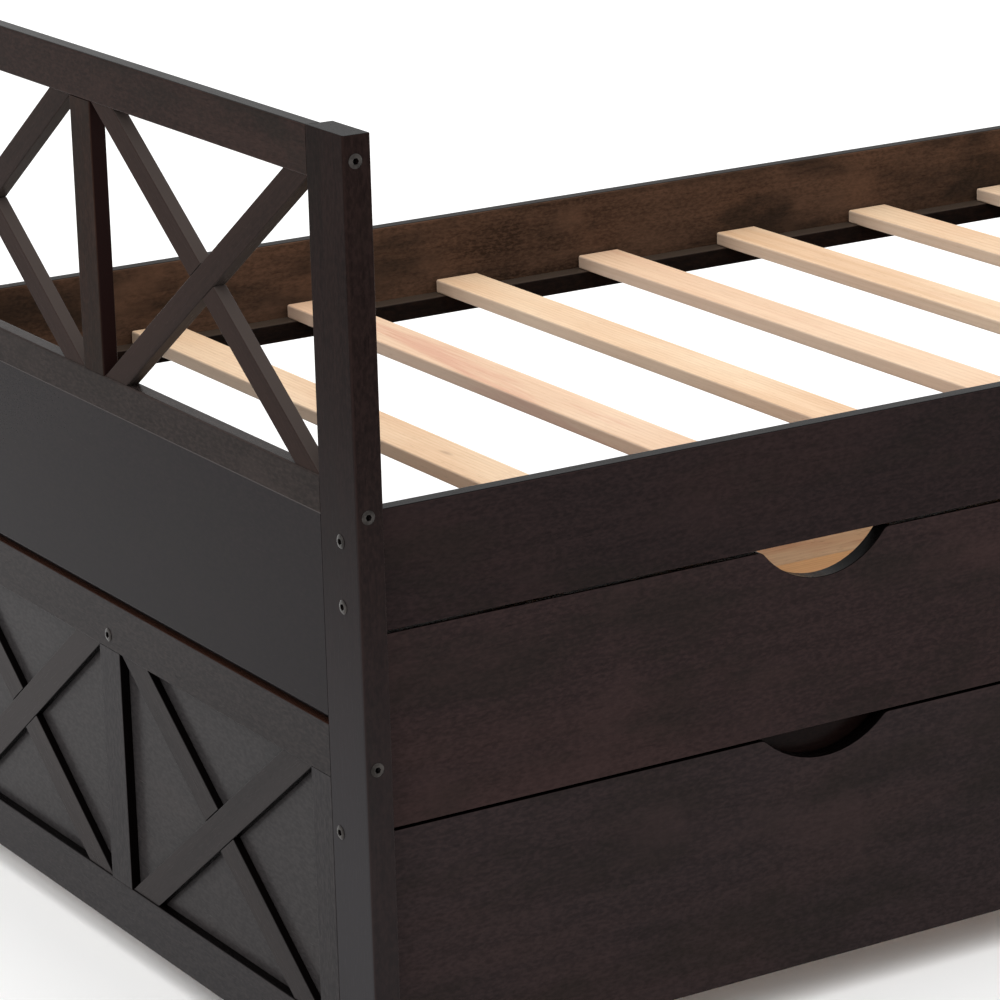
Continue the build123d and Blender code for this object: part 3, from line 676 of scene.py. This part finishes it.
def slat_sizes(node, seed, material):
    """Sizes of a row of slats from the CAD node's box."""
    low, high = map(Vector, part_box(node))
    return {
        "Length": high.y - low.y - 2 * slat_slip,
        "Width": slat_width,
        "Thickness": high.z - low.z,
        "Eased Edge": slat_edge,
        "Count": slat_count,
        "First": low.x + slat_width / 2,
        "Pitch": (high.x - low.x - slat_width) / (slat_count - 1),
        "Middle Height": (low.z + high.z) / 2,
        "Slip": slat_slip,
        "Seed": seed,
        "Material": material,
    }


slat_wood = bare_wood("bare slat wood", ACROSS_BED, pale=(0.77, 0.58, 0.39), tan=(0.69, 0.46, 0.28),
                      plank="plank")
bed_slat_sizes = slat_sizes("bed_slats", 4, slat_wood)
slat_maker = slat_tree(bed_slat_sizes)
slats = grown("slats", slat_maker, bed_slat_sizes)
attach(slats, "frame")
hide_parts("bed_slats")


# ---------------------------------------------------------------------------------------------
# Drawer runners. Plain planed strips of bare wood between the two stretchers, with a lip that
# guides each drawer.

finish(bare_wood("bare runner wood", ACROSS_BED, pale=(0.66, 0.46, 0.28), tan=(0.58, 0.36, 0.19),
                 start=(0.1, 0.4, 0.7)),
       "drawer_runners")


# ---------------------------------------------------------------------------------------------
# Drawers. Each front is one espresso board with a half-moon hand hold in its top edge; the box
# behind it is bare wood, with a thin plywood bottom let into a groove.

# The hand hold walls and the fronts' edges are painted near black as painted shade.
finish(espresso("espresso drawer front", ALONG_BED, deep=(0.0174, 0.0110, 0.0111),
                warm=(0.0236, 0.0138, 0.0131), warm_share=0.55, figure=0.42, start=(0.6, 0.2, 0.12),
                lacquer=0.03, blotches=0.4, sides=painted_side_shade, shown_axis=1),
       *both_ends("drawer_front"))
finish(bare_wood("bare drawer side", ACROSS_BED, pale=(0.70, 0.50, 0.31), tan=(0.60, 0.38, 0.21),
                 start=(0.2, 0.6, 0.1)),
       *both_ends("drawer_sides"))
finish(bare_wood("bare drawer back", ALONG_BED, pale=(0.80, 0.67, 0.50), tan=(0.72, 0.54, 0.36),
                 start=(0.2, 0.6, 0.1)),
       *both_ends("drawer_back"))
finish(bare_wood("drawer plywood", ALONG_BED, pale=(0.60, 0.36, 0.18), tan=(0.52, 0.28, 0.12),
                 start=(0.5, 0.9, 0.3)),
       *both_ends("drawer_bottom"))


# ---------------------------------------------------------------------------------------------
# Trundle. A low box on wheels that slides out from under the bed: an espresso front with two
# hand holds, plain sides and back, ledgers, loose slats and corner blocks.

# The hand hold walls and the front's edges are painted near black as painted shade.
finish(espresso("espresso trundle front", ALONG_BED, deep=(0.0172, 0.0124, 0.0128),
                warm=(0.0228, 0.0148, 0.0143), warm_share=0.5, figure=0.35, start=(0.8, 0.15, 0.33),
                lacquer=0.03, blotches=0.4, sides=painted_side_shade, shown_axis=1),
       "trundle_front")
finish(espresso("espresso trundle back", ALONG_BED, deep=(0.0060, 0.0040, 0.0038),
                warm=(0.0150, 0.0062, 0.0052), warm_share=0.45, figure=0.4, start=(0.3, 0.7, 0.5)),
       "trundle_back")
finish(espresso("espresso trundle end", ACROSS_BED, deep=(0.0060, 0.0040, 0.0038),
                warm=(0.0150, 0.0062, 0.0052), warm_share=0.45, figure=0.4, start=(0.3, 0.7, 0.5)),
       "trundle_ends")
finish(bare_wood("bare ledger wood", ALONG_BED, pale=(0.66, 0.46, 0.28), tan=(0.58, 0.36, 0.19),
                 start=(0.6, 0.3, 0.8)),
       "trundle_ledgers")
finish(bare_wood("bare block wood", UPRIGHT, pale=(0.66, 0.46, 0.28), tan=(0.58, 0.36, 0.19),
                 start=(0.6, 0.3, 0.8)),
       "trundle_corner_blocks")
trundle_slats = grown("trundle_slat_row", slat_maker, slat_sizes("trundle_slats", 11, slat_wood))
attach(trundle_slats, "trundle")
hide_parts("trundle_slats")


# ---------------------------------------------------------------------------------------------
# Trundle wheels. Moulded black plastic wheels, 50 mm across, that turn on steel axles in pressed
# brackets under the trundle's ends.

def moulded(name, tone):
    """Moulded plastic with a fine grain, scuffed where it rolls."""
    made, tree, shader = new_finish(name)
    where, _ = along_board(tree, ALONG_BED, (0, 0, 0))
    grain = mottled(tree, where, (1400.0, 1400.0, 1400.0), 2.0, 0.6)
    scuffs = mottled(tree, where, (160.0, 40.0, 40.0), 4.0, 0.7)
    scuffed = eased(tree, scuffs, 0.52, 0.72)
    colour = blended(tree, scuffed, tone, scaled(tone, 3.0))
    tree.links.new(colour, shader.inputs["Base Color"])
    gloss = sums(tree, "MULTIPLY_ADD", grain, 0.15, 0.33)
    gloss = sums(tree, "MULTIPLY_ADD", scuffed, 0.25, gloss)
    tree.links.new(gloss, shader.inputs["Roughness"])
    bumps = step(tree, "ShaderNodeBump", {"Strength": 0.3, "Distance": 0.0001, "Height": grain})
    tree.links.new(bumps.outputs["Normal"], shader.inputs["Normal"])
    return made


wheel_plastic = moulded("black wheel plastic", (0.012, 0.012, 0.013))
tread_radius = 0.025
bore_radius = 0.00405
half_tread = 0.010
web_side = 0.0055
rib_count = 6
rim_steps = 72
# Radius and distance from the middle plane, from the hub's bore out to the middle of the tread.
wheel_outline = ((bore_radius, half_tread), (0.0078, half_tread), (0.0084, 0.0094), (0.0088, web_side),
                 (0.0172, web_side), (0.0180, 0.0090), (0.0190, half_tread), (0.0222, half_tread),
                 (0.0238, 0.0093), (0.0248, 0.0078), (tread_radius, 0.0062), (tread_radius, 0.0014),
                 (0.0245, 0.0008))
# Distance from the wheel's middle and half the thickness, at the rib's foot and at its end.
rib_ends = ((0.0082, 0.0013), (0.0178, 0.0008))
rib_side = 0.0085
# Corners of each face of a rib, as they are listed below.
box_faces = ((0, 1, 3, 2), (4, 5, 7, 6), (0, 1, 5, 4), (2, 3, 7, 6), (0, 2, 6, 4), (1, 3, 7, 5))


def turned_wheel(name, node):
    """Wheel with a hub, a sunk web with ribs on both sides, and a rounded tread with a groove."""
    low, high = map(Vector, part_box(node))
    middle = (low + high) / 2
    loop = list(wheel_outline) + [(radius, -side) for radius, side in reversed(wheel_outline)]
    points = []
    faces = []
    for turn in range(rim_steps):
        angle = 2 * pi * turn / rim_steps
        points += [middle + Vector((side, radius * cos(angle), radius * sin(angle)))
                   for radius, side in loop]
        for index in range(len(loop)):
            other = (index + 1) % len(loop)
            after = (turn + 1) % rim_steps
            faces.append((turn * len(loop) + index, turn * len(loop) + other,
                          after * len(loop) + other, after * len(loop) + index))
    for rib in range(2 * rib_count):
        side = 1 if rib < rib_count else -1
        out = Vector((0, cos(2 * pi * rib / rib_count), sin(2 * pi * rib / rib_count)))
        across = Vector((0, -out.z, out.y))
        first = len(points)
        for radius, half_rib in rib_ends:
            for height in (web_side - 0.001, rib_side):
                for way in (-1, 1):
                    corner = Vector((side * height, 0, 0)) + across * half_rib * way
                    points.append(middle + out * radius + corner)
        for corners in box_faces:
            faces.append(tuple(first + corner for corner in corners))
    mesh = bpy.data.meshes.new(name)
    mesh.from_pydata(points, [], faces)
    solid = bmesh.new()
    solid.from_mesh(mesh)
    bmesh.ops.recalc_face_normals(solid, faces=solid.faces)
    for face in solid.faces:
        face.smooth = True
    solid.to_mesh(mesh)
    solid.free()
    mesh.set_sharp_from_angle(angle=radians(30))
    mesh.materials.append(wheel_plastic)
    made = bpy.data.objects.new(name, mesh)
    bpy.context.scene.collection.objects.link(made)
    return made


for corner in ("front_left", "front_right", "back_left", "back_right"):
    wheel = turned_wheel(corner + "_tyre", corner + "_wheel")
    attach(wheel, corner + "_wheel")
    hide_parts(corner + "_wheel")


# ---------------------------------------------------------------------------------------------
# Studio. A pale floor that runs out of sight, soft daylight from all round and one broad soft
# light from above and the left.

def pale_floor():
    """Flat floor, far larger than the view."""
    reach = 40.0
    mesh = bpy.data.meshes.new("floor")
    mesh.from_pydata([(-reach, -reach, 0), (reach, -reach, 0), (reach, reach, 0), (-reach, reach, 0)],
                     [], [(0, 1, 2, 3)])
    made, tree, shader = new_finish("pale floor")
    where, _ = along_board(tree, ALONG_BED, (0, 0, 0))
    dust = mottled(tree, where, (1.5, 1.5, 1.5), 4.0, 0.6)
    colour = blended(tree, dust, (0.92, 0.92, 0.92), (0.94, 0.94, 0.94))
    tree.links.new(colour, shader.inputs["Base Color"])
    shader.inputs["Roughness"].default_value = 0.8
    shader.inputs["Specular IOR Level"].default_value = 0.2
    mesh.materials.append(made)
    floor = bpy.data.objects.new("floor", mesh)
    bpy.context.scene.collection.objects.link(floor)
    return floor


pale_floor()

world = bpy.data.worlds.new("studio")
world.use_nodes = True
daylight = world.node_tree.nodes["Background"].inputs
daylight["Color"].default_value = (1.0, 1.0, 1.0, 1.0)
daylight["Strength"].default_value = 1.1
bpy.context.scene.world = world

key = bpy.data.lights.new("soft key", "SUN")
key.energy = 1.2
key.angle = radians(70)
key.color = (1.0, 0.985, 0.96)
key_lamp = bpy.data.objects.new("soft key", key)
key_lamp.rotation_euler = Vector((0.35, 0.25, -1.0)).to_track_quat("-Z", "Y").to_euler()
bpy.context.scene.collection.objects.link(key_lamp)

lens = bpy.data.cameras.new("camera")
lens.lens = 150.68
lens.sensor_width = 36.0
lens.clip_end = 200.0
camera = bpy.data.objects.new("camera", lens)
camera.location = (-2.8057, -3.7340, 1.7182)
camera.rotation_euler = (radians(73.407), radians(1.487), radians(-31.575))
bpy.context.scene.collection.objects.link(camera)
bpy.context.scene.camera = camera
bpy.context.scene.view_settings.view_transform = "Standard"
